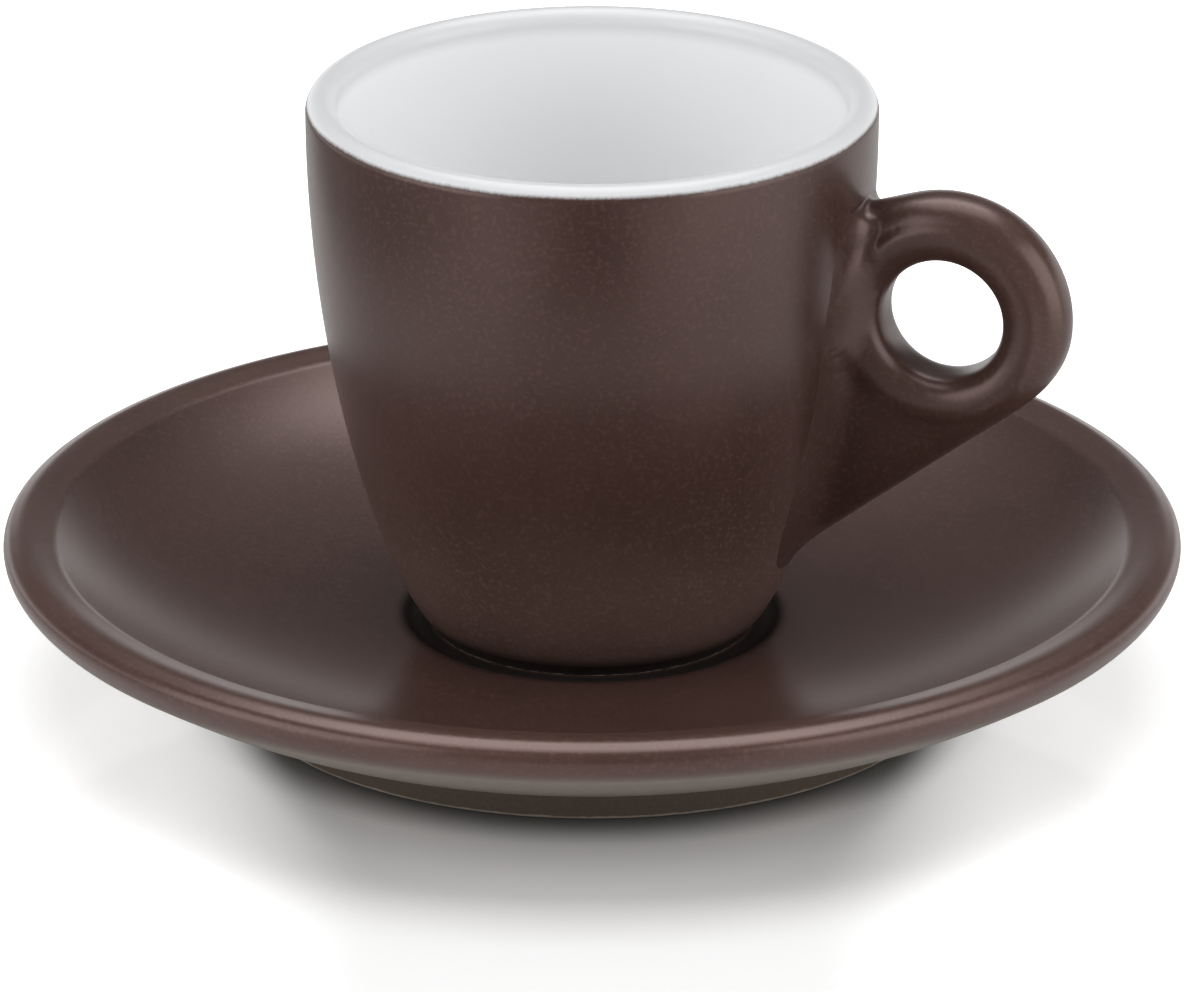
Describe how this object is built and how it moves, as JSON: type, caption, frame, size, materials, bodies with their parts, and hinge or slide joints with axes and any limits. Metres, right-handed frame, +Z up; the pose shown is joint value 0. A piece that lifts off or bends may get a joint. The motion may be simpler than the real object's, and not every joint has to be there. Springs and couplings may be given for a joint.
{
  "type": "espresso cup with saucer",
  "caption": "Tapered stoneware espresso cup with a round ring handle and white lining, standing in the well of a dished saucer with a thick rounded rim.",
  "frame": {"origin": "on the table at the middle of the saucer's foot ring", "axes": "+Z up along the axis of cup and saucer, +X towards the handle"},
  "size_m": [0.125, 0.125, 0.0662],
  "materials": {
    "saucer_glaze": "satin brown glaze on stoneware",
    "cup_glaze": "satin brown glaze on stoneware",
    "handle_glaze": "satin brown glaze on stoneware",
    "white_lining": "gloss white glaze"
  },
  "bodies": {
    "saucer": {"saucer": "saucer_glaze"},
    "cup": {"cup_body": "cup_glaze", "cup_handle": "handle_glaze", "lining_glaze": "white_lining"}
  },
  "joints": [
    {"name": "cup_lift", "type": "slide", "parent": "saucer", "child": "cup", "axis": [0, 0, 1], "range_m": [0, 0.1]}
  ]
}
